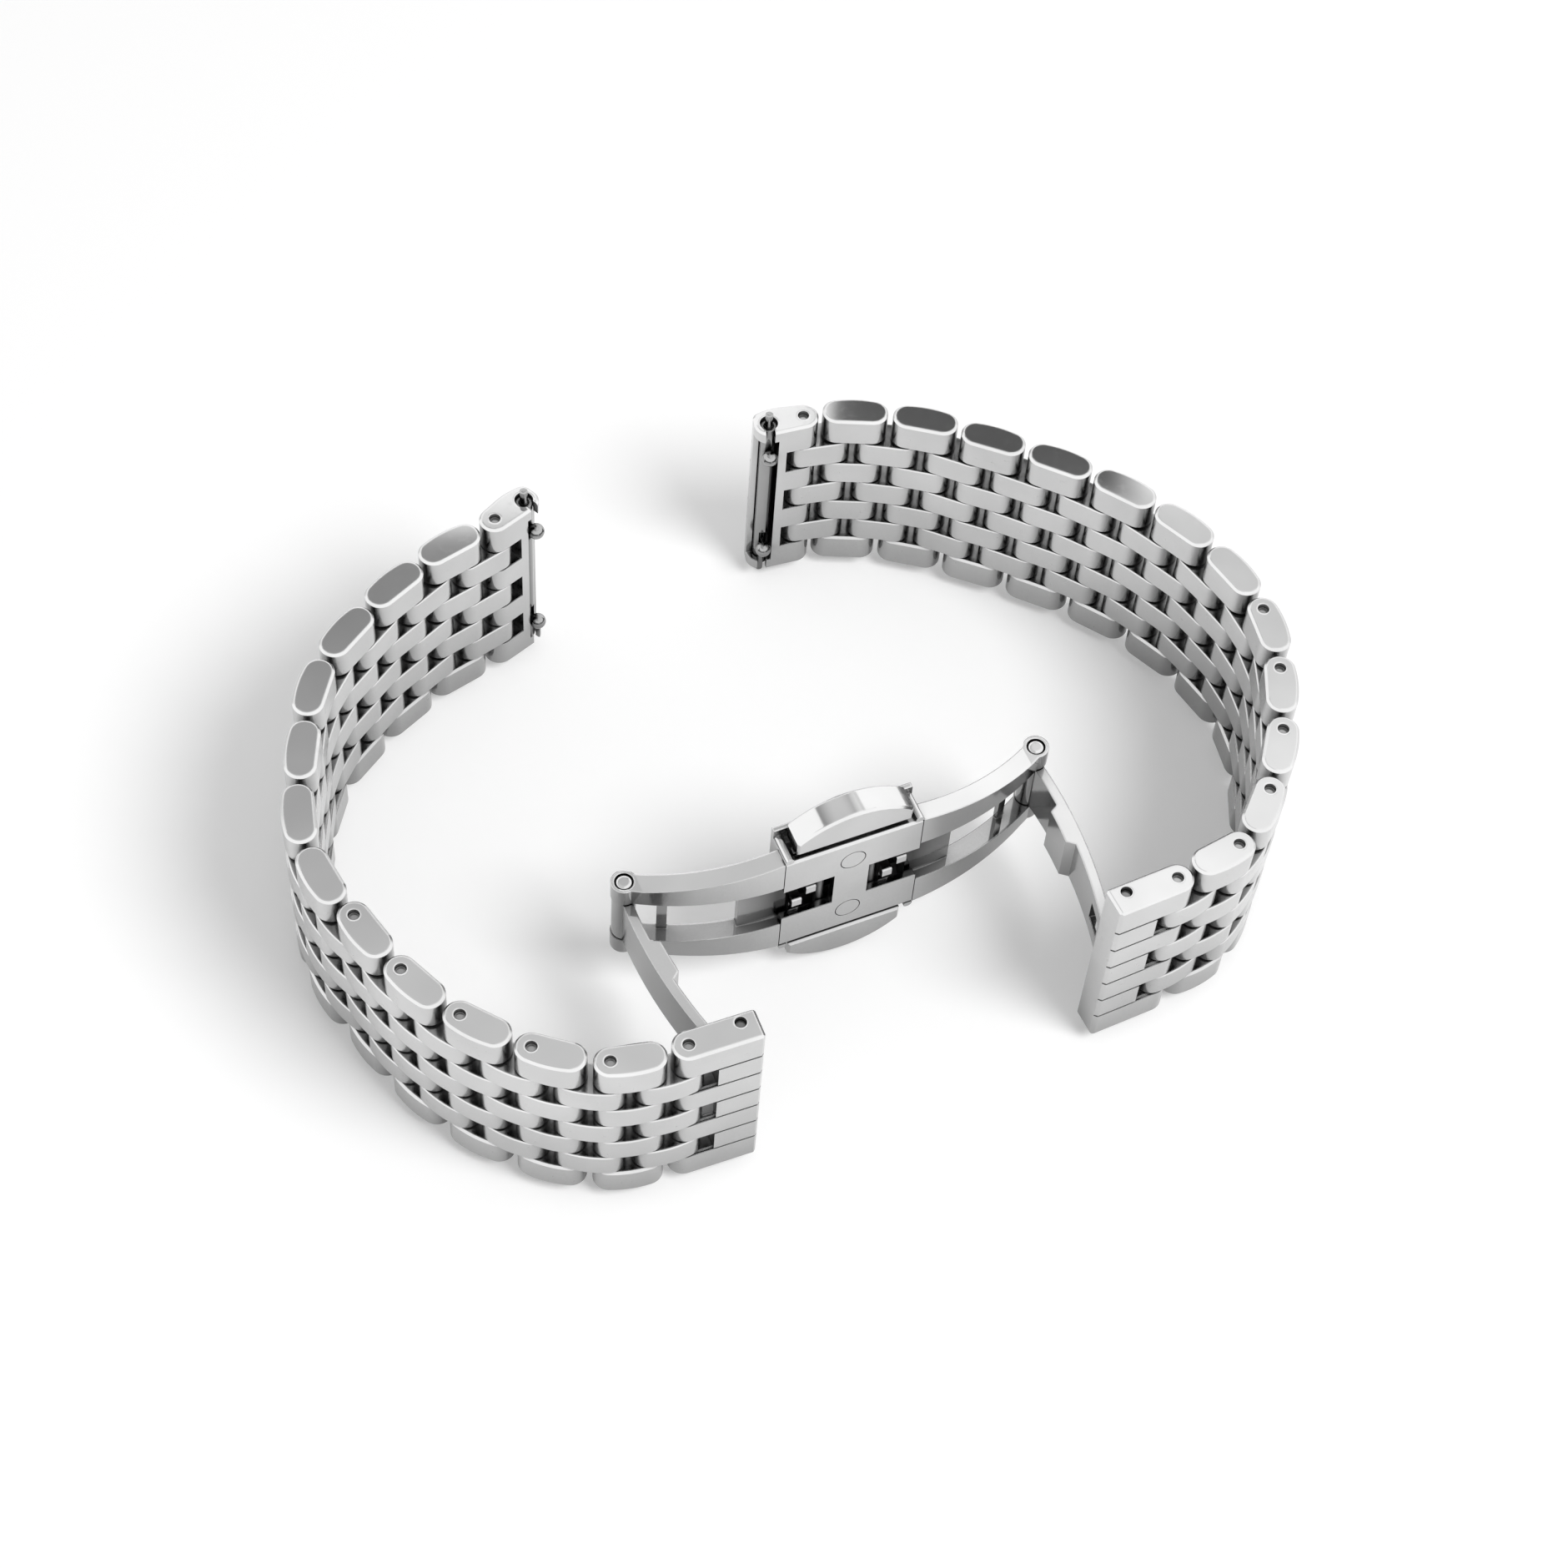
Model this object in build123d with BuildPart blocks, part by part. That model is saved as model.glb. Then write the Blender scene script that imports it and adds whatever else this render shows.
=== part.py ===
"""Link watch bracelet with a butterfly clasp, opened out and standing on its edge.

X and Y are the plan, the width of the strap is Z, and every hinge turns about Z.
Each piece is made in its own frame: x runs along the strap from the clasp towards the watch,
y points to the wrist and z to one edge, with the middle of the width at zero.
The left strap is the right one turned over.
"""
from build123d import *
from math import acos, asin, atan2, cos, degrees, hypot, radians, sin
import os

os.makedirs("parts", exist_ok=True)

# Strap
strap_width = 20.0
pin_spacing = 3.2
link_end_radius = 1.38
outer_crown = 0.15
edge_row_height = 3.1
row_gap = 0.1
row_count = 7
link_count = 12
open_link_count = 5
edge_bevel = 0.2
row_bevel = 0.1

# Link pins
pin_radius = 0.5
pin_press = 0.01
pin_play = 0.04
pin_recess = 0.45
blind_depth = 2.2

# Watch end piece, measured from its pin
end_bar_x = 3.25
end_bar_y = 0.5
end_bar_wall = 0.5
end_nose_drop = 0.7
end_round = 0.8
slot_room = 0.25
line_depth = 0.2
line_width = 0.22
channel_wall = 1.3

# Spring bar
tip_reach = 1.3
tip_radius = 0.35
tip_bevel = 0.1
tip_taper = 0.55
neck_radius = 0.42
tube_radius = 0.75
tube_bore = 0.55
tube_short = 0.35
tube_lip = 0.5
bar_play = 0.08
plunger_play = 0.05
plunger_length = 5.4
knob_radius = 0.74
knob_neck_radius = 0.28
knob_offset = 1.42
knob_from_middle = 6.7
knob_travel = 1.3
spring_wall = 0.12

# Clasp link, measured from its strap pin
clasp_pin_run = 4.6
clasp_pin_rise = 0.5
clasp_pin_to_end = 1.5
row_start_gap = 0.8
groove_depth = 0.3
pocket_floor = 0.7
pocket_end_wall = 0.45
pocket_run = 4.4
end_bevel = 0.25

# Folding arm, measured from its hinge
arm_reach = 18.8
arm_bow = 1.0
arm_tip_lift = 0.4
arm_thickness = 0.9
arm_root_radius = 1.05
arm_tip_radius = 0.92
arm_root_width = 5.6
arm_tip_width = 4.6
side_play = 0.1
catch_start = 4.6
catch_end = 9.4
catch_height = 0.75
catch_slope = 0.8
arm_slot_start = 14.2
arm_slot_length = 2.2
arm_slot_width = 2.2

# Clasp frame, measured from the middle of its outer face
hinge_half = 19.1
hinge_depth = 4.4
plate_half = 6.37
plate_height = 13.0
wing_thickness = 1.75
wing_tip_height = 9.6
wing_window_height = 5.8
knuckle_radius = 1.15
window_from_hinge = 9.8
cross_from_hinge = 2.8
cross_length = 0.9
cross_drop = 1.35
recess_depth = 0.95
frame_depth = 2.7
frame_back_wall = 0.6
frame_end_wall = 0.75
back_thickness = 0.5
back_lip = 1.3
ear_width = 0.85
ear_height = 0.6
ear_round = 0.4
hinge_pin_radius = 0.5
hinge_head_radius = 0.75
hinge_head_height = 0.35
hinge_head_round = 0.28

# Cover and its rivets
cover_thickness = 0.7
cover_window_start = 1.6
cover_window_height = 4.3
cover_bevel = 0.2
seam = 0.08
rivet_from_middle = 3.85
rivet_head_radius = 1.1
rivet_head_depth = 0.4
rivet_stem_radius = 0.6
boss_radius = 1.0

# Push buttons with their latches
button_half = 5.3
button_shoulder = 1.5
button_rise = 3.5
button_round = 1.2
button_bevel = 0.2
button_thickness = 2.5
button_slot = 0.72
button_travel = 0.55
button_set_back = 0.1
latch_thickness = 0.6
latch_clearance = 0.2
latch_yoke = 1.0
latch_key = 0.8
latch_key_half = 2.4
latch_near_leg = 3.6
latch_far_leg = 4.85
latch_leg_width = 0.9
claw_length = 0.65
claw_height = 1.1
claw_past_middle = 0.15
claw_round = 0.22
return_spring_radius = 0.42
return_spring_bore = 0.25
return_spring_x = 2.4

# Lay of the open bracelet in plan
clasp_x = 5.686
clasp_y = -9.675
clasp_heading = 27.2
left_arm_heading = -54.7
right_arm_heading = -66.6
left_end_heading = 205.5
right_end_heading = 30.0
left_headings = [
    204, 195, 178, 170, 161, 157, 148, 142, 136, 132, 136, 125, 116,
    103, 95, 93, 93, 83, 73, 61, 61, 52, 52, 41, 42, 55,
]
right_headings = [
    38, 36, 60, 72, 77, 82, 91, 93, 97, 109, 119, 129, 132,
    143, 145, 154, 156, 162, 162, 166, 164, 173, 178, 184, 197, 194,
]

# Sizes that follow from the ones above
overrun = strap_width
half_strap = strap_width / 2
middle_z = half_strap + tip_reach
gap_total = (row_count - 1) * row_gap
middle_row_height = (strap_width - 2 * edge_row_height - gap_total) / (row_count - 2)
row_heights = [edge_row_height] + [middle_row_height] * (row_count - 2) + [edge_row_height]
outer_rows = range(0, row_count, 2)
inner_rows = range(1, row_count, 2)
press_bore = pin_radius + pin_press
turn_bore = pin_radius + pin_play
half_plate = plate_height / 2
half_window = wing_window_height / 2
end_radius = tube_radius + bar_play + end_bar_wall
clasp_end_x = -clasp_pin_run - clasp_pin_to_end


def row_middle(row):
    """Height of a row's middle; row 0 lies at the top edge."""
    above = sum(row_heights[:row]) + row * row_gap
    return half_strap - above - row_heights[row] / 2


def facing(x, y, heading, side):
    """Frame of a piece that stands at x, y and runs along a heading; side -1 turns it over."""
    turn = radians(heading)
    return Plane(origin=(x, y, middle_z), x_dir=(cos(turn), sin(turn), 0), z_dir=(0, 0, side))


def keep(piece, name):
    """Label a finished piece and write it."""
    piece.part.label = name
    export_step(piece.part, f"parts/{name}.step")


def put(shape, place, name):
    """Write a copy of a shape that stands in its place."""
    with BuildPart(place) as piece:
        add(shape)
    keep(piece, name)


# Strap bars


def make_bar(height, bevel, bores):
    """One bar between two pins; bores gives the radius at each pin."""
    crown_run = ((pin_spacing / 2) ** 2 + outer_crown ** 2) / (2 * outer_crown)
    touch_x = link_end_radius * pin_spacing / 2 / crown_run
    touch_y = link_end_radius * (crown_run - outer_crown) / crown_run
    with BuildPart() as bar:
        with BuildSketch():
            with BuildLine():
                ThreePointArc((-touch_x, -touch_y), (pin_spacing / 2, -link_end_radius - outer_crown),
                              (pin_spacing + touch_x, -touch_y))
                ThreePointArc((pin_spacing + touch_x, -touch_y), (pin_spacing + link_end_radius, 0),
                              (pin_spacing, link_end_radius))
                Line((pin_spacing, link_end_radius), (0, link_end_radius))
                ThreePointArc((0, link_end_radius), (-link_end_radius, 0), (-touch_x, -touch_y))
            make_face()
        extrude(amount=height / 2, both=True)
        chamfer(bar.faces().filter_by(Axis.Z).edges(), bevel)
        for x, bore in zip((0, pin_spacing), bores):
            with Locations((x, 0)):
                Cylinder(bore, height, mode=Mode.SUBTRACT)
    return bar.part


def make_edge_bar(far_pin_shows):
    """Edge bar at the top; its pins end inside it, and the far one may show at the edge."""
    with BuildPart() as bar:
        add(make_bar(edge_row_height, edge_bevel, (press_bore, press_bore)))
        hidden = (0,) if far_pin_shows else (0, pin_spacing)
        for x in hidden:
            with Locations((x, 0, -edge_row_height / 2 + blind_depth)):
                Cylinder(link_end_radius - edge_bevel, edge_row_height - blind_depth,
                         align=(Align.CENTER, Align.CENTER, Align.MIN))
    return bar.part


def make_pin(radius, length):
    """Plain round pin with its middle at zero."""
    with BuildPart() as pin:
        Cylinder(radius, length)
    return pin.part


hidden_pin = make_pin(pin_radius, strap_width - 2 * (edge_row_height - blind_depth) - 2 * pin_press)
shown_pin = make_pin(pin_radius, strap_width - 2 * pin_recess)
outer_bar = make_bar(middle_row_height, row_bevel, (press_bore, press_bore))
inner_bar = make_bar(middle_row_height, row_bevel, (turn_bore, turn_bore))
closed_edge_bar = make_edge_bar(False)
open_edge_bar = make_edge_bar(True)


def add_rows(shape, rows):
    """Add a bar at the height of each of the rows."""
    with Locations(*[(0, 0, row_middle(row)) for row in rows]):
        add(shape)


def write_link(name, outer_place, inner_place, pin_shows):
    """One link: four outer bars, three inner bars and the two pins that the outer bars hold."""
    edge_bar = open_edge_bar if pin_shows else closed_edge_bar
    with BuildPart() as link:
        with Locations(outer_place):
            add_rows(edge_bar, [0])
            add_rows(mirror(edge_bar, about=Plane.XY, mode=Mode.PRIVATE), [row_count - 1])
            add_rows(outer_bar, outer_rows[1:-1])
            add(hidden_pin)
        with Locations(inner_place):
            add_rows(inner_bar, inner_rows)
            add(shown_pin if pin_shows else hidden_pin)
    keep(link, name)


def write_inner_links(name, place):
    """The three inner bars between the last link and the clasp link."""
    with BuildPart(place) as links:
        add_rows(inner_bar, inner_rows)
    keep(links, name)


# Watch end piece and spring bar


def end_outline(inset=0, mode=Mode.ADD):
    """Side outline of the end piece, drawn in by an inset on its outer face."""
    outer = link_end_radius - inset
    end_x = end_bar_x + end_radius
    nose_y = end_nose_drop - outer
    side_angle = atan2(end_bar_y, end_bar_x)
    side_angle += acos((link_end_radius - end_radius) / hypot(end_bar_x, end_bar_y))
    along, across = cos(side_angle), sin(side_angle)
    with BuildLine() as outline:
        Line((0, -outer), (end_bar_x / 2, -outer))
        TangentArc((end_bar_x / 2, -outer), (end_x, nose_y), tangent=(1, 0))
        Line((end_x, nose_y), (end_x, end_bar_y))
        CenterArc((end_bar_x, end_bar_y), end_radius, 0, degrees(side_angle))
        Line((end_bar_x + end_radius * along, end_bar_y + end_radius * across),
             (link_end_radius * along, link_end_radius * across))
        ThreePointArc((link_end_radius * along, link_end_radius * across), (-link_end_radius, 0),
                      (0, -outer))
        nose = outline.vertices().sort_by_distance((end_x, nose_y))[0]
        fillet(nose, end_round - inset)
    make_face(outline.edges(), mode=mode)


def cut_slots(reach, towards):
    """Make room for the inner bars between the fingers, from the pin outwards."""
    near, far = sorted((-towards * overrun, towards * reach))
    for row in inner_rows:
        with Locations(((near + far) / 2, 0, row_middle(row))):
            Box(far - near, overrun, row_heights[row] + 2 * row_gap, mode=Mode.SUBTRACT)


def make_end_piece():
    """Solid end with four fingers round the first pin and a channel for the spring bar."""
    channel = tube_radius + bar_play
    opening = strap_width - 2 * channel_wall
    with BuildPart() as end:
        with BuildSketch():
            end_outline()
        extrude(amount=half_strap, both=True)
        chamfer(end.faces().filter_by(Axis.Z).edges(), edge_bevel)
        for row in range(1, row_count):
            line_z = row_middle(row) + (row_heights[row] + row_gap - line_width) / 2
            with BuildSketch(Plane.XY.offset(line_z)):
                end_outline()
                end_outline(line_depth, Mode.SUBTRACT)
            extrude(amount=line_width, mode=Mode.SUBTRACT)
        cut_slots(link_end_radius + slot_room, 1)
        with Locations((end_bar_x, end_bar_y)):
            Cylinder(channel, strap_width, mode=Mode.SUBTRACT)
            Box(2 * end_radius, overrun, opening,
                align=(Align.MIN, Align.MIN, Align.CENTER), mode=Mode.SUBTRACT)
            Box(channel, overrun, opening,
                align=(Align.MAX, Align.MIN, Align.CENTER), mode=Mode.SUBTRACT)
            Box(2 * bar_play + 2 * tip_radius, overrun, strap_width,
                align=(Align.CENTER, Align.MIN, Align.CENTER), mode=Mode.SUBTRACT)
        Cylinder(press_bore, strap_width, mode=Mode.SUBTRACT)
        add(shown_pin)
    return end.part


def make_bar_tube():
    """Tube of the spring bar with a lip at each end and a slot for each knob."""
    tube_half = half_strap - tube_short
    neck_room = knob_neck_radius + plunger_play
    slot_length = knob_travel + 2 * neck_room
    slot_middle = knob_from_middle - knob_travel / 2
    with BuildPart() as tube:
        Cylinder(tube_radius, 2 * tube_half)
        Cylinder(tube_bore, 2 * (tube_half - tube_lip), mode=Mode.SUBTRACT)
        Cylinder(neck_radius + plunger_play, strap_width, mode=Mode.SUBTRACT)
        with Locations((0, 0, slot_middle), (0, 0, -slot_middle)):
            Box(2 * neck_room, tube_radius, slot_length,
                align=(Align.CENTER, Align.MIN, Align.CENTER), mode=Mode.SUBTRACT)
    return tube.part


def make_plunger():
    """Upper plunger: a pin with a neck through the tube's lip, a thinner tip and a ball knob."""
    tube_end = half_strap - tube_short
    shoulder = tube_end - tube_lip - plunger_play
    with BuildPart() as plunger:
        with Locations((0, 0, shoulder)):
            Cylinder(tube_bore - plunger_play, plunger_length,
                     align=(Align.CENTER, Align.CENTER, Align.MAX))
            Cylinder(neck_radius, tube_end - shoulder,
                     align=(Align.CENTER, Align.CENTER, Align.MIN))
        with Locations((0, 0, tube_end)):
            Cone(neck_radius, tip_radius, tip_taper, align=(Align.CENTER, Align.CENTER, Align.MIN))
        with Locations((0, 0, tube_end + tip_taper)):
            Cylinder(tip_radius, tube_short + tip_reach - tip_taper,
                     align=(Align.CENTER, Align.CENTER, Align.MIN))
        chamfer(plunger.faces().sort_by(Axis.Z)[-1].edges(), tip_bevel)
        with BuildSketch(Plane.XZ):
            with Locations((0, knob_from_middle)):
                Circle(knob_neck_radius)
        extrude(amount=-knob_offset)
        with Locations((0, knob_offset, knob_from_middle)):
            Sphere(knob_radius)
    return plunger.part


def make_bar_spring():
    """Spring between the plungers, as the sleeve that it fills when pressed."""
    shoulder = half_strap - tube_short - tube_lip - plunger_play
    reach = shoulder - plunger_length - knob_travel - plunger_play
    outer = tube_bore - plunger_play
    with BuildPart() as spring:
        Cylinder(outer, 2 * reach)
        Cylinder(outer - spring_wall, 2 * reach, mode=Mode.SUBTRACT)
    return spring.part


# Clasp link


def make_clasp_link():
    """Square-ended link with four fingers, fine grooves and a pocket for the folding arm."""
    pocket_height = arm_tip_width + 2 * side_play
    row_edge = -link_end_radius - row_start_gap
    with BuildPart() as link:
        with BuildSketch():
            with Locations((clasp_end_x / 2, 0)):
                Rectangle(-clasp_end_x, 2 * link_end_radius)
            Circle(link_end_radius)
        extrude(amount=half_strap, both=True)
        chamfer(link.faces().filter_by(Axis.Z).edges(), edge_bevel)
        chamfer(link.edges().filter_by(Axis.Z).group_by(Axis.X)[0], end_bevel)
        for row in range(1, row_count):
            line_z = row_middle(row) + (row_heights[row] + row_gap) / 2
            with Locations((clasp_end_x / 2, -link_end_radius, line_z)):
                Box(overrun, 2 * groove_depth, line_width, mode=Mode.SUBTRACT)
        cut_slots(-row_edge, -1)
        with Locations((clasp_end_x + pocket_end_wall, pocket_floor - link_end_radius)):
            Box(pocket_run, overrun, pocket_height,
                align=(Align.MIN, Align.MIN, Align.CENTER), mode=Mode.SUBTRACT)
        with Locations((0, 0), (-clasp_pin_run, clasp_pin_rise)):
            Cylinder(press_bore, strap_width, mode=Mode.SUBTRACT)
        add(shown_pin)
    return link.part


# Folding arm


def arm_y(x):
    """Middle line of the arm's strip, bowed away from the frame and lifted at its tip."""
    share = x / arm_reach
    return arm_tip_lift * share - 4 * arm_bow * share * (1 - share)


def arm_arc(offset, start, end):
    """Arc at an offset from the middle line of the arm."""
    middle = (start + end) / 2
    return ThreePointArc((start, arm_y(start) + offset), (middle, arm_y(middle) + offset),
                         (end, arm_y(end) + offset))


def make_arm():
    """Bowed strip with an eye at each end, a catch block on its frame side and a slot."""
    half = arm_thickness / 2
    top_start = catch_start + catch_slope
    top_end = catch_end - catch_slope
    block = half + catch_height
    reach = arm_reach + arm_tip_radius
    with BuildPart() as arm:
        with BuildSketch():
            with BuildLine():
                arm_arc(-half, 0, arm_reach)
                Line((arm_reach, arm_y(arm_reach) - half), (arm_reach, arm_y(arm_reach) + half))
                arm_arc(half, 0, arm_reach)
                Line((0, half), (0, -half))
            make_face()
            with BuildLine():
                Line((catch_start, arm_y(catch_start)), (top_start, arm_y(top_start) + block))
                arm_arc(block, top_start, top_end)
                Line((top_end, arm_y(top_end) + block), (catch_end, arm_y(catch_end)))
                arm_arc(0, catch_start, catch_end)
            make_face()
            Circle(arm_root_radius)
            with Locations((arm_reach, 0)):
                Circle(arm_tip_radius)
        extrude(amount=arm_root_width / 2, both=True)
        with BuildSketch(Plane.XZ):
            Polygon((-arm_root_radius, -arm_root_width / 2), (0, -arm_root_width / 2),
                    (reach, -arm_tip_width / 2), (reach, arm_tip_width / 2),
                    (0, arm_root_width / 2), (-arm_root_radius, arm_root_width / 2), align=None)
        extrude(amount=overrun, both=True, mode=Mode.INTERSECT)
        Cylinder(hinge_pin_radius + pin_play, overrun, mode=Mode.SUBTRACT)
        with Locations((arm_reach, 0)):
            Cylinder(turn_bore, overrun, mode=Mode.SUBTRACT)
        with Locations((arm_slot_start, 0)):
            Box(arm_slot_length, overrun, arm_slot_width,
                align=(Align.MIN, Align.CENTER, Align.CENTER), mode=Mode.SUBTRACT)
    return arm.part


# Clasp frame

wing_run = hinge_half - plate_half
wing_fall = hinge_depth - wing_thickness / 2
wing_radius = hypot(wing_run, wing_fall) ** 2 / (2 * wing_fall)
wing_sweep = degrees(asin(wing_run / wing_radius))


def back_angle(length):
    """Angle along the wing at a length back from its hinge."""
    return wing_sweep - degrees(length / wing_radius)


def wing_face(near, far, start, end, mode=Mode.ADD):
    """Face of the curved wing between two depths and two angles from the plate."""
    centre = (plate_half, wing_thickness / 2 + wing_radius)
    outer = wing_radius + wing_thickness / 2 - near
    inner = wing_radius + wing_thickness / 2 - far
    with BuildLine() as outline:
        top = CenterArc(centre, outer, start - 90, end - start)
        bottom = CenterArc(centre, inner, start - 90, end - start)
        Line(top @ 0, bottom @ 0)
        Line(top @ 1, bottom @ 1)
    make_face(outline.edges(), mode=mode)


def make_wing():
    """Curved wing: two rails, a recess, an open window, a crosspiece and the hinge knuckles."""
    window_start = back_angle(window_from_hinge)
    cross_start = back_angle(cross_from_hinge + cross_length)
    cross_end = back_angle(cross_from_hinge)
    knuckle_start = hinge_half - knuckle_radius
    tip = hinge_half + knuckle_radius
    head_z = (wing_tip_height - hinge_head_height) / 2
    with BuildPart() as wing:
        with BuildSketch():
            wing_face(0, wing_thickness, 0, wing_sweep)
            with Locations((hinge_half, hinge_depth)):
                Circle(knuckle_radius)
        extrude(amount=half_plate, both=True)
        with BuildSketch(Plane.XZ):
            Polygon((plate_half, -half_plate), (knuckle_start, -wing_tip_height / 2),
                    (tip, -wing_tip_height / 2), (tip, wing_tip_height / 2),
                    (knuckle_start, wing_tip_height / 2), (plate_half, half_plate), align=None)
        extrude(amount=overrun, both=True, mode=Mode.INTERSECT)
        with BuildSketch():
            wing_face(-wing_thickness, recess_depth, 0, window_start)
            wing_face(-wing_thickness, 2 * wing_thickness, window_start, cross_start)
            wing_face(-wing_thickness, cross_drop, cross_start, cross_end)
            wing_face(-wing_thickness, 2 * wing_thickness, cross_end, wing_sweep)
            with Locations((hinge_half, hinge_depth)):
                Circle(arm_root_radius + 2 * side_play)
        extrude(amount=half_window, both=True, mode=Mode.SUBTRACT)
        with Locations((hinge_half, hinge_depth)):
            Cylinder(hinge_pin_radius + pin_press, overrun, mode=Mode.SUBTRACT)
        with Locations((hinge_half, hinge_depth, head_z), (hinge_half, hinge_depth, -head_z)):
            Cylinder(hinge_head_radius + seam, hinge_head_height, mode=Mode.SUBTRACT)
    return wing.part


def make_frame():
    """Open box behind the cover with a lipped back, an ear at each corner and a wing on each side."""
    inner_half = plate_half - frame_end_wall
    floor_y = frame_depth - frame_back_wall
    ear_x = plate_half - ear_width / 2
    wing = make_wing()
    with BuildPart() as frame:
        with BuildSketch(Plane.XZ):
            with Locations((ear_x, 0), (-ear_x, 0)):
                RectangleRounded(ear_width, plate_height + 2 * ear_height, ear_round)
        extrude(amount=-frame_depth)
        with Locations((0, frame_depth)):
            Box(2 * plate_half, frame_depth, plate_height,
                align=(Align.CENTER, Align.MAX, Align.CENTER))
            Box(2 * plate_half, back_thickness, plate_height + 2 * back_lip,
                align=(Align.CENTER, Align.MIN, Align.CENTER))
        with Locations((0, floor_y)):
            Box(2 * inner_half, overrun, overrun, align=(Align.CENTER, Align.MAX, Align.CENTER),
                mode=Mode.SUBTRACT)
        with Locations((0, cover_thickness)):
            Box(2 * plate_half, overrun, plate_height + 2 * seam,
                align=(Align.CENTER, Align.MAX, Align.CENTER), mode=Mode.SUBTRACT)
        with Locations((0, recess_depth)):
            Box(2 * plate_half, overrun, wing_window_height,
                align=(Align.CENTER, Align.MAX, Align.CENTER), mode=Mode.SUBTRACT)
        with Locations((0, floor_y, rivet_from_middle), (0, floor_y, -rivet_from_middle)):
            Box(2 * boss_radius, floor_y - cover_thickness, 2 * boss_radius,
                align=(Align.CENTER, Align.MAX, Align.CENTER))
        with BuildSketch(Plane.XZ):
            with Locations((0, rivet_from_middle), (0, -rivet_from_middle)):
                Circle(rivet_stem_radius + pin_press)
        extrude(amount=overrun, both=True, mode=Mode.SUBTRACT)
        add(wing)
        add(mirror(wing, about=Plane.YZ, mode=Mode.PRIVATE))
    return frame.part


def make_cover():
    """Flat cover in the form of an H with two countersunk rivet holes."""
    with BuildPart() as cover:
        with BuildSketch(Plane.XZ):
            Rectangle(2 * (plate_half - seam), plate_height)
        extrude(amount=-cover_thickness)
        chamfer(cover.edges().filter_by(Axis.X).group_by(Axis.Y)[0], cover_bevel)
        with BuildSketch(Plane.XZ):
            with Locations((cover_window_start, 0)):
                Rectangle(plate_half, cover_window_height, align=(Align.MIN, Align.CENTER))
            with Locations((-cover_window_start, 0)):
                Rectangle(plate_half, cover_window_height, align=(Align.MAX, Align.CENTER))
            with Locations((0, rivet_from_middle), (0, -rivet_from_middle)):
                Circle(rivet_stem_radius + pin_press)
        extrude(amount=-cover_thickness, mode=Mode.SUBTRACT)
        with BuildSketch(Plane.XZ):
            with Locations((0, rivet_from_middle), (0, -rivet_from_middle)):
                Circle(rivet_head_radius + seam)
        extrude(amount=-rivet_head_depth, mode=Mode.SUBTRACT)
    return cover.part


def make_rivets():
    """The two flush rivets that hold the cover."""
    with BuildPart() as rivets:
        with BuildSketch(Plane.XZ):
            with Locations((0, rivet_from_middle), (0, -rivet_from_middle)):
                Circle(rivet_head_radius)
        extrude(amount=-rivet_head_depth)
        with BuildSketch(Plane.XZ):
            with Locations((0, rivet_from_middle), (0, -rivet_from_middle)):
                Circle(rivet_stem_radius)
        extrude(amount=-frame_depth)
    return rivets.part


def make_hinge_pin():
    """Hinge pin of a wing with a domed head sunk in each knuckle."""
    head_z = (wing_tip_height - hinge_head_height) / 2
    with BuildPart() as hinge_pin:
        Cylinder(hinge_pin_radius, wing_tip_height)
        with Locations((0, 0, head_z), (0, 0, -head_z)):
            Cylinder(hinge_head_radius, hinge_head_height)
        ends = hinge_pin.faces().sort_by(Axis.Z)
        fillet(ends[0].edges() + ends[-1].edges(), hinge_head_round)
    return hinge_pin.part


# Push buttons, latches and their springs

button_base = half_plate + button_slot
latch_y = cover_thickness + latch_clearance


def make_button():
    """Upper push button: a D-shaped pad with a keyway for its latch."""
    with BuildPart() as button:
        with BuildSketch(Plane.XZ.offset(-button_set_back)) as outline:
            with BuildLine():
                shoulder = button_base + button_shoulder
                Line((-button_half, button_base), (button_half, button_base))
                Line((button_half, button_base), (button_half, shoulder))
                ThreePointArc((button_half, shoulder), (0, button_base + button_rise),
                              (-button_half, shoulder))
                Line((-button_half, shoulder), (-button_half, button_base))
            make_face()
            corners = outline.vertices().filter_by_position(Axis.Z, shoulder, shoulder)
            fillet(corners, button_round)
        extrude(amount=-button_thickness)
        chamfer(button.faces().filter_by(Axis.Y).edges(), button_bevel)
        with Locations((0, latch_y - pin_press, button_base)):
            Box(2 * (latch_key_half + pin_press), latch_thickness + 2 * pin_press,
                2 * (latch_key + pin_press), align=(Align.CENTER, Align.MIN, Align.CENTER),
                mode=Mode.SUBTRACT)
    return button.part


def make_latch():
    """Latch plate of the upper button: a yoke, a key, a near and a far leg with a claw each."""
    yoke_bottom = half_plate - latch_yoke
    leg_bottom = claw_past_middle
    with BuildPart() as latch:
        with BuildSketch(Plane.XZ.offset(-latch_y)):
            with Locations((0, yoke_bottom)):
                Rectangle(2 * latch_far_leg + latch_leg_width, latch_yoke,
                          align=(Align.CENTER, Align.MIN))
                Rectangle(2 * latch_key_half, latch_yoke + button_slot + latch_key,
                          align=(Align.CENTER, Align.MIN))
            with Locations((latch_far_leg, leg_bottom), (-latch_near_leg, leg_bottom)):
                Rectangle(latch_leg_width, half_plate - leg_bottom, align=(Align.CENTER, Align.MIN))
        extrude(amount=-latch_thickness)
        with Locations((latch_far_leg, latch_y, leg_bottom), (-latch_near_leg, latch_y, leg_bottom)):
            Box(latch_leg_width, claw_length, claw_height,
                align=(Align.CENTER, Align.MAX, Align.MIN))
        fillet(latch.edges().filter_by(Axis.X).group_by(Axis.Y)[0], claw_round)
    return latch.part


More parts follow.
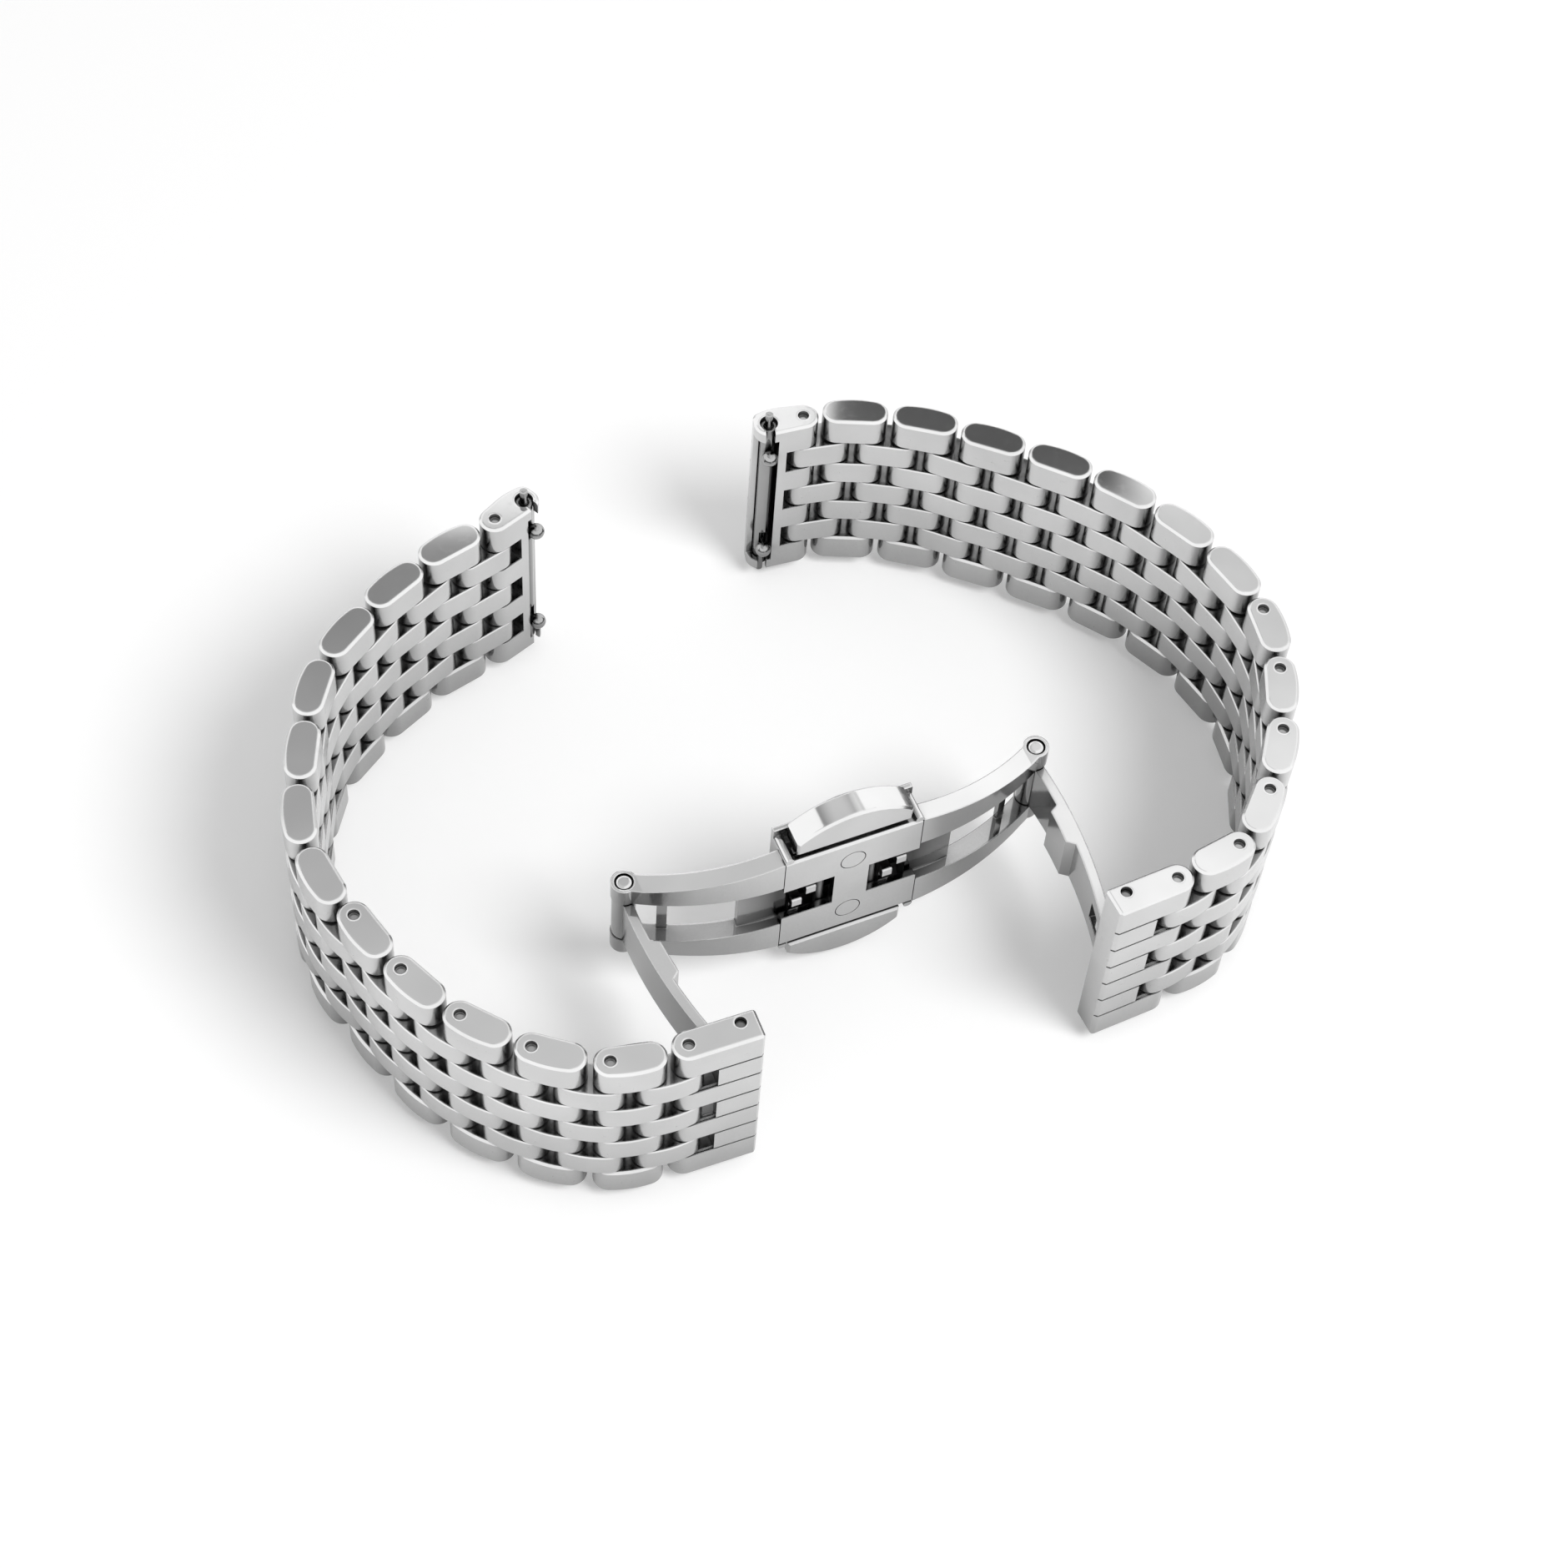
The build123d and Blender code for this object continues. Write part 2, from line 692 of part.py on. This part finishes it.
def make_return_springs():
    """The two springs between the latches, as the sleeves that they fill when pressed."""
    reach = half_plate - latch_yoke - button_travel - plunger_play
    with BuildPart() as springs:
        with Locations((return_spring_x, latch_y + latch_thickness / 2),
                       (-return_spring_x, latch_y + latch_thickness / 2)):
            Cylinder(return_spring_radius, 2 * reach)
            Cylinder(return_spring_bore, 2 * reach, mode=Mode.SUBTRACT)
    return springs.part


# Clasp in its place

clasp = facing(clasp_x, clasp_y, clasp_heading, 1)
upper_button = make_button()
upper_latch = make_latch()
put(make_frame(), clasp, "clasp_frame")
put(make_cover(), clasp, "clasp_cover")
put(make_rivets(), clasp, "cover_rivets")
put(make_return_springs(), clasp, "button_springs")
put(upper_button, clasp, "upper_button")
put(upper_latch, clasp, "upper_latch")
put(mirror(upper_button, about=Plane.XY, mode=Mode.PRIVATE), clasp, "lower_button")
put(upper_latch.rotate(Axis.Y, 180), clasp, "lower_latch")

# Straps, each from its hinge on the clasp to the watch

arm_shape = make_arm()
hinge_pin_shape = make_hinge_pin()
clasp_link_shape = make_clasp_link()
end_shape = make_end_piece()
tube_shape = make_bar_tube()
bar_spring_shape = make_bar_spring()
plunger_shape = make_plunger()
lower_plunger_shape = mirror(plunger_shape, about=Plane.XY, mode=Mode.PRIVATE)


def make_strap(name, side, arm_heading, end_heading, headings):
    """Write every piece of one strap."""
    half_turn = 0 if side > 0 else 180
    half_clasp = facing(clasp_x, clasp_y, clasp_heading + half_turn, side)
    hinge = half_clasp.from_local_coords((hinge_half, hinge_depth))
    arm = facing(hinge.X, hinge.Y, arm_heading, -side)
    put(hinge_pin_shape, arm, f"{name}_wing_pin")
    put(arm_shape, arm, f"{name}_arm")
    tip = arm.from_local_coords((arm_reach, 0))
    tip_place = facing(tip.X, tip.Y, end_heading, side)
    put(shown_pin, tip_place, f"{name}_arm_pin")
    first = tip_place.from_local_coords((clasp_pin_run, -clasp_pin_rise))
    put(clasp_link_shape, facing(first.X, first.Y, end_heading, side), f"{name}_clasp_link")
    places = [facing(first.X, first.Y, headings[0], side)]
    for heading in headings[1:]:
        point = places[-1].from_local_coords((pin_spacing, 0))
        places.append(facing(point.X, point.Y, heading, side))
    write_inner_links(f"{name}_inner_links", places[0])
    for number in range(1, link_count + 1):
        outer = 2 * (link_count - number) + 1
        pin_shows = number > link_count - open_link_count
        write_link(f"{name}_link_{number:02d}", places[outer], places[outer + 1], pin_shows)
    end = places[-1]
    bar = end.from_local_coords((end_bar_x, end_bar_y))
    bar_place = facing(bar.X, bar.Y, headings[-1], side)
    put(end_shape, end, f"{name}_end_piece")
    put(tube_shape, bar_place, f"{name}_bar_tube")
    put(bar_spring_shape, bar_place, f"{name}_bar_spring")
    upper, lower = (plunger_shape, lower_plunger_shape)
    put(upper if side > 0 else lower, bar_place, f"{name}_upper_plunger")
    put(lower if side > 0 else upper, bar_place, f"{name}_lower_plunger")


make_strap("left", -1, left_arm_heading, left_end_heading, left_headings)
make_strap("right", 1, right_arm_heading, right_end_heading, right_headings)
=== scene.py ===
"""Studio scene of the opened link bracelet, in metres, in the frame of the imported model."""
from math import cos, radians, sin

import bpy
from mathutils import Matrix, Vector


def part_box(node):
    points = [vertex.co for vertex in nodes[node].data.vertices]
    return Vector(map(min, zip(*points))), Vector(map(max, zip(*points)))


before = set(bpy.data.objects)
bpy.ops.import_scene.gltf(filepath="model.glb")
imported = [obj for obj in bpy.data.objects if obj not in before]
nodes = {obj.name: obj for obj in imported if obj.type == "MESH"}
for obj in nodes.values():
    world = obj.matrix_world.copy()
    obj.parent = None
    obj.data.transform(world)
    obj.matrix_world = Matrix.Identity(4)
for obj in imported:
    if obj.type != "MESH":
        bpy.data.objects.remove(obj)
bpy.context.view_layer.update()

MM = 0.001

# Camera: where it looks, how far off it stands, and how it is turned
LOOK_AT = Vector((-0.74, -6.74, 21.3)) * MM
DISTANCE = 278.6 * MM
ELEVATION = radians(56.3)
ROLL = radians(5.2)
LENS_SHARE = 4000 / 1880
SENSOR = 36.0
CLIP_NEAR = 0.01
CLIP_FAR = 20

# Floor; the lift is a white glow that only the camera and mirror faces see
FLOOR_HALF = 2.5
FLOOR_TONE = 0.84
FLOOR_ROUGH = 0.9
FLOOR_SPECULAR = 0.1
FLOOR_LIFT = 0.20

# Surround: its strength as light, and as the camera and mirror faces see it
WORLD_TONE = 0.38
MIRROR_TONE = 0.95
WALL_TONE = 1.6

# Ceiling, by the height of the direction: its edge on the left and right, and its tones
CEILING_TURN = 0.05
CEILING_LEFT = 0.789
CEILING_RIGHT = 0.772
CEILING_EDGE = 0.003
CEILING_LEAN = 0.10
LEFT_HEIGHTS = (0.80, 0.87)
LEFT_TONES = (0.40, 0.95)
RIGHT_HEIGHTS = (0.785, 0.835)
RIGHT_TONES = (1.0, 1.55)

# Dark card behind the band, by bearing and height, each with the width of its soft edge
CARD_LEFT = 0.004
CARD_LEFT_EDGE = 0.004
CARD_RIGHT = 0.14
CARD_RIGHT_EDGE = 0.02
CARD_LOW = 0.70
CARD_LOW_EDGE = 0.03
CARD_TOP = 0.772
CARD_TOP_EDGE = 0.002
CARD_TONE = 0.10
BEARING_LEAST = 0.05

# Soft key light from the front right
KEY_DIRECTION = Vector((1.94, -1.17, 3.1))
KEY_DISTANCE = 0.9
KEY_SIZE = 0.42
KEY_POWER = 5.2

# Steel: fine lines along the strap, broad clouds and small scuffs, in features per metre
LINE_SCALE = (150.0, 150.0, 7000.0)
LINE_DETAIL = 3.0
LINE_ROUGH = (0.8, 1.3)
CLOUD_SCALE = (160.0, 160.0, 160.0)
CLOUD_DETAIL = 2.0
CLOUD_RANGE = (0.3, 0.7)
CLOUD_TONE = (0.95, 1.05)
CLOUD_HEIGHT = 0.5
SCUFF_SCALE = (1500.0, 1500.0, 1500.0)
SCUFF_DETAIL = 5.0
SCUFF_RANGE = (0.55, 0.75)
SCUFF_ROUGH = (1.0, 1.35)
GRAIN_DEPTH = 0.004 * MM
GRAIN_STRENGTH = 0.25

# Upright part of the normal at which a side face turns into a mirror edge face
EDGE_RANGE = (0.80, 0.97)
EDGE_ROUND = 0.03 * MM
TOP_ROUND = 0.22 * MM
ROUND_SAMPLES = 6

# Openness of the surface, from closed to open, and what it does at three reaches: rougher hollows,
# and painted shade in closed corners, in narrow seams and on the sides towards the foot
OPEN_SAMPLES = 8
OCCLUSION_REACH = 6 * MM
HOLLOW_RANGE = (0.1, 0.5)
HOLLOW_ROUGH = 0.55
SHADE_RANGE = (0.1, 0.9)
SHADE_LOW = 0.9
SEAM_REACH = 0.45 * MM
SEAM_RANGE = (0.25, 0.75)
SEAM_SHADE = 0.18
FOOT_REACH = 22 * MM
FOOT_RANGE = (0.45, 0.85)
FOOT_SHADE = 0.46

# Painted dark reflection on the recess floors of the clasp frame, darker towards the cover
CLASP_HEADING = radians(27.2)
PLATE_HALF = 6.37 * MM
RECESS_RUN = 5.0 * MM
RECESS_HALF = 2.6 * MM
RECESS_EDGE = 0.1 * MM
RECESS_FACING = (0.2, 0.5)
RECESS_PAINTED_SHADE = 0.09

# Each finish: tone, roughness of the sides, roughness of the edge faces, depth of the lines
SATIN = (0.60, 0.20, 0.05, 0.6)
POLISHED = (0.60, 0.12, 0.08, 0.3)
DARK = (0.30, 0.35, 0.30, 0.6)
# Low tone of the pins, plungers and tubes: a painted dark reflection on polished steel
SMALL = (0.34, 0.10, 0.10, 0.0)


def look_matrix(elevation, roll, target, distance):
    """Place of a camera that looks along +Y and down, rolled about its own axis."""
    forward = Vector((0, cos(elevation), -sin(elevation)))
    right = Vector((1, 0, 0))
    up = Vector((0, sin(elevation), cos(elevation)))
    rolled_right = right * cos(roll) + up * sin(roll)
    rolled_up = up * cos(roll) - right * sin(roll)
    turn = Matrix((rolled_right, rolled_up, -forward)).transposed().to_4x4()
    return Matrix.Translation(target - forward * distance) @ turn


def make_camera():
    data = bpy.data.cameras.new("camera")
    data.sensor_width = SENSOR
    data.sensor_fit = "HORIZONTAL"
    data.lens = SENSOR * LENS_SHARE
    data.clip_start = CLIP_NEAR
    data.clip_end = CLIP_FAR
    camera = bpy.data.objects.new("camera", data)
    camera.matrix_world = look_matrix(ELEVATION, ROLL, LOOK_AT, DISTANCE)
    bpy.context.collection.objects.link(camera)
    bpy.context.scene.camera = camera


# Nodes


def new_material(name):
    """Node material with its tree and its shader."""
    material = bpy.data.materials.new(name)
    material.use_nodes = True
    tree = material.node_tree
    return material, tree, tree.nodes["Principled BSDF"]


def add(tree, kind, **inputs):
    """Add a node and set its inputs by name."""
    node = tree.nodes.new(kind)
    for key, value in inputs.items():
        node.inputs[key.replace("_", " ")].default_value = value
    return node


def math(tree, operation, first, second=None, third=None):
    """Add a math node; each input is a number or a socket."""
    node = tree.nodes.new("ShaderNodeMath")
    node.operation = operation
    for index, value in enumerate((first, second, third)):
        if isinstance(value, (int, float)):
            node.inputs[index].default_value = value
        elif value is not None:
            tree.links.new(value, node.inputs[index])
    return node.outputs[0]


def product(tree, *factors):
    """Multiply sockets and numbers together."""
    result = factors[0]
    for factor in factors[1:]:
        result = math(tree, "MULTIPLY", result, factor)
    return result


def spread(tree, value, low, high, start, end):
    """Map a value from low..high to start..end."""
    node = tree.nodes.new("ShaderNodeMapRange")
    tree.links.new(value, node.inputs["Value"])
    for key, number in zip(("From Min", "From Max", "To Min", "To Max"), (low, high, start, end)):
        node.inputs[key].default_value = number
    return node.outputs["Result"]


def parts(tree, vector):
    """The three parts of a vector socket."""
    split = tree.nodes.new("ShaderNodeSeparateXYZ")
    tree.links.new(vector, split.inputs["Vector"])
    return [split.outputs[key] for key in "XYZ"]


def grey(tree, level, target):
    """Feed one level to a colour socket as a grey."""
    tint = tree.nodes.new("ShaderNodeCombineColor")
    for key in ("Red", "Green", "Blue"):
        tree.links.new(level, tint.inputs[key])
    tree.links.new(tint.outputs["Color"], target)


def noise(tree, place, scale, detail):
    """Noise over the object's own coordinates; scale is features per metre along x, y and z."""
    stretch = add(tree, "ShaderNodeMapping", Scale=scale)
    tree.links.new(place, stretch.inputs["Vector"])
    cloud = add(tree, "ShaderNodeTexNoise", Scale=1.0, Detail=detail)
    tree.links.new(stretch.outputs["Vector"], cloud.inputs["Vector"])
    return cloud.outputs["Fac"]


def openness(tree, reach):
    """How open the surface is within a reach, from 0 in a closed corner to 1."""
    node = add(tree, "ShaderNodeAmbientOcclusion", Distance=reach)
    node.samples = OPEN_SAMPLES
    return node.outputs["AO"]


def seen_rays(tree):
    """1 for camera and mirror rays, 0 for rays that only light other surfaces."""
    path = tree.nodes.new("ShaderNodeLightPath")
    return math(tree, "MAXIMUM", path.outputs["Is Camera Ray"], path.outputs["Is Glossy Ray"])


# Finishes


def recess_shade(tree, place):
    """Factor of painted shade that darkens the clasp's front recess floors towards the cover,
    standing in for a dark reflection, and is 1 elsewhere.
    """
    low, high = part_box("clasp_cover")
    offset = tree.nodes.new("ShaderNodeVectorMath")
    offset.operation = "SUBTRACT"
    tree.links.new(place.outputs["Object"], offset.inputs[0])
    offset.inputs[1].default_value = (Vector(low) + Vector(high)) / 2
    x, y, z = parts(tree, offset.outputs["Vector"])
    facing_x, facing_y, _ = parts(tree, place.outputs["Normal"])

    across = math(tree, "MULTIPLY", y, sin(CLASP_HEADING))
    along = math(tree, "ABSOLUTE", math(tree, "MULTIPLY_ADD", x, cos(CLASP_HEADING), across))
    depth = spread(tree, along, PLATE_HALF, PLATE_HALF + RECESS_RUN, 1.0, 0.0)
    height = math(tree, "ABSOLUTE", z)
    inside = spread(tree, height, RECESS_HALF, RECESS_HALF + RECESS_EDGE, 1.0, 0.0)
    back = math(tree, "MULTIPLY", facing_y, -cos(CLASP_HEADING))
    front = math(tree, "MULTIPLY_ADD", facing_x, sin(CLASP_HEADING), back)
    share = product(tree, depth, inside, spread(tree, front, *RECESS_FACING, 0.0, 1.0))
    return spread(tree, share, 0.0, 1.0, 1.0, RECESS_PAINTED_SHADE)


def steel(name, finish, recess=False):
    """Steel with satin sides and mirror edge faces, fine lines along the strap and soft corners, and
    painted shade in closed corners, seams and towards the foot.
    """
    tone, rough_side, rough_edge, grain = finish
    material, tree, shader = new_material(name)
    shader.inputs["Metallic"].default_value = 1.0
    links = tree.links
    place = tree.nodes.new("ShaderNodeTexCoord")
    lines = noise(tree, place.outputs["Object"], LINE_SCALE, LINE_DETAIL)
    cloud = noise(tree, place.outputs["Object"], CLOUD_SCALE, CLOUD_DETAIL)
    scuffs = noise(tree, place.outputs["Object"], SCUFF_SCALE, SCUFF_DETAIL)

    upward = math(tree, "ABSOLUTE", parts(tree, place.outputs["Normal"])[2])
    edge_share = spread(tree, upward, *EDGE_RANGE, 0.0, 1.0)
    side_lines = product(tree, lines, math(tree, "SUBTRACT", 1.0, edge_share))
    near_open = openness(tree, OCCLUSION_REACH)

    rough = product(tree, spread(tree, edge_share, 0.0, 1.0, rough_side, rough_edge),
                    spread(tree, side_lines, 0.0, 1.0, *LINE_ROUGH),
                    spread(tree, scuffs, *SCUFF_RANGE, *SCUFF_ROUGH))
    hollow = spread(tree, near_open, *HOLLOW_RANGE, HOLLOW_ROUGH, 0.0)
    links.new(math(tree, "MAXIMUM", rough, hollow), shader.inputs["Roughness"])

    # Painted shade: darker in closed corners, in narrow seams and on the sides towards the foot; the
    # cloud is the steel's own random tone
    shade = product(tree, spread(tree, near_open, *SHADE_RANGE, SHADE_LOW, 1.0),
                    spread(tree, cloud, *CLOUD_RANGE, *CLOUD_TONE),
                    spread(tree, openness(tree, SEAM_REACH), *SEAM_RANGE, SEAM_SHADE, 1.0),
                    spread(tree, openness(tree, FOOT_REACH), *FOOT_RANGE, FOOT_SHADE, 1.0))
    # Painted dark reflection on the clasp's recess floors, darker towards the cover
    if recess:
        shade = product(tree, shade, recess_shade(tree, place))
    grey(tree, product(tree, shade, tone), shader.inputs["Base Color"])

    height = math(tree, "MULTIPLY_ADD", cloud, CLOUD_HEIGHT, product(tree, side_lines, grain))
    round_edges = tree.nodes.new("ShaderNodeBevel")
    round_edges.samples = ROUND_SAMPLES
    links.new(spread(tree, edge_share, 0.0, 1.0, EDGE_ROUND, TOP_ROUND), round_edges.inputs["Radius"])
    bump = add(tree, "ShaderNodeBump", Strength=GRAIN_STRENGTH, Distance=GRAIN_DEPTH)
    links.new(height, bump.inputs["Height"])
    links.new(round_edges.outputs["Normal"], bump.inputs["Normal"])
    links.new(bump.outputs["Normal"], shader.inputs["Normal"])
    return material


satin = steel("satin_steel", SATIN)
polished = steel("polished_steel", POLISHED)
# The frame steel carries the painted dark reflection on its recess floors
framed = steel("frame_steel", POLISHED, recess=True)
dark = steel("dark_steel", DARK)
small = steel("polished_pins_painted_dark", SMALL)

# Words in a node's name and their finish; the first that fits counts
FINISHES = (
    (("clasp_frame",), framed),
    (("spring",), dark),
    (("arm_pin", "plunger", "tube"), small),
    (("link",), satin),
)


def pick(name):
    """Finish of a node, from its name."""
    for words, finish in FINISHES:
        if any(word in name for word in words):
            return finish
    return polished


def dress_nodes():
    for name, piece in nodes.items():
        finish = pick(name)
        if not piece.data.materials:
            piece.data.materials.append(finish)
        for index in range(len(piece.data.materials)):
            piece.data.materials[index] = finish


# Studio


def make_floor():
    mesh = bpy.data.meshes.new("floor")
    half = FLOOR_HALF
    mesh.from_pydata([(-half, -half, 0), (half, -half, 0), (half, half, 0), (-half, half, 0)],
                     [], [(0, 1, 2, 3)])
    floor = bpy.data.objects.new("floor", mesh)
    bpy.context.collection.objects.link(floor)
    material, tree, shader = new_material("floor")
    shader.inputs["Base Color"].default_value = (FLOOR_TONE, FLOOR_TONE, FLOOR_TONE, 1)
    shader.inputs["Roughness"].default_value = FLOOR_ROUGH
    shader.inputs["Specular IOR Level"].default_value = FLOOR_SPECULAR
    shader.inputs["Emission Color"].default_value = (1, 1, 1, 1)
    tree.links.new(product(tree, seen_rays(tree), FLOOR_LIFT), shader.inputs["Emission Strength"])
    mesh.materials.append(material)


def make_world():
    """White surround with a greyer ceiling, lighter to the right, and a dark card behind the band."""
    world = bpy.data.worlds.new("studio")
    world.use_nodes = True
    bpy.context.scene.world = world
    tree = world.node_tree
    background = tree.nodes["Background"]
    place = tree.nodes.new("ShaderNodeTexCoord")
    x, y, z = parts(tree, place.outputs["Generated"])

    edge = spread(tree, x, -CEILING_TURN, CEILING_TURN, CEILING_LEFT, CEILING_RIGHT)
    above = math(tree, "SUBTRACT", z, edge)
    under = spread(tree, above, -CEILING_EDGE, CEILING_EDGE, 1.0, 0.0)
    left = spread(tree, z, *LEFT_HEIGHTS, *LEFT_TONES)
    right = spread(tree, z, *RIGHT_HEIGHTS, *RIGHT_TONES)
    lean = spread(tree, x, 0.0, CEILING_LEAN, 0.0, 1.0)
    ceiling = math(tree, "ADD", product(tree, left, math(tree, "SUBTRACT", 1.0, lean)),
                   product(tree, right, lean))
    tone = math(tree, "MAXIMUM", ceiling, product(tree, under, WALL_TONE))

    bearing = math(tree, "DIVIDE", x, math(tree, "MAXIMUM", y, BEARING_LEAST))
    card = product(tree, spread(tree, bearing, CARD_LEFT, CARD_LEFT + CARD_LEFT_EDGE, 0.0, 1.0),
                   spread(tree, bearing, CARD_RIGHT, CARD_RIGHT + CARD_RIGHT_EDGE, 1.0, 0.0),
                   spread(tree, z, CARD_TOP, CARD_TOP + CARD_TOP_EDGE, 1.0, 0.0),
                   spread(tree, z, CARD_LOW, CARD_LOW + CARD_LOW_EDGE, 0.0, 1.0))
    tone = product(tree, tone, spread(tree, card, 0.0, 1.0, 1.0, CARD_TONE))
    grey(tree, tone, background.inputs["Color"])
    strength = spread(tree, seen_rays(tree), 0.0, 1.0, WORLD_TONE, MIRROR_TONE)
    tree.links.new(strength, background.inputs["Strength"])


def make_key():
    """Soft lamp that mirror faces don't show."""
    data = bpy.data.lights.new("key", "AREA")
    data.shape = "DISK"
    data.size = KEY_SIZE
    data.energy = KEY_POWER
    key = bpy.data.objects.new("key", data)
    away = KEY_DIRECTION.normalized()
    key.location = away * KEY_DISTANCE
    key.rotation_euler = away.to_track_quat("Z", "Y").to_euler()
    key.visible_glossy = False
    bpy.context.collection.objects.link(key)


dress_nodes()
make_floor()
make_world()
make_key()
make_camera()
bpy.context.scene.view_settings.view_transform = "Standard"
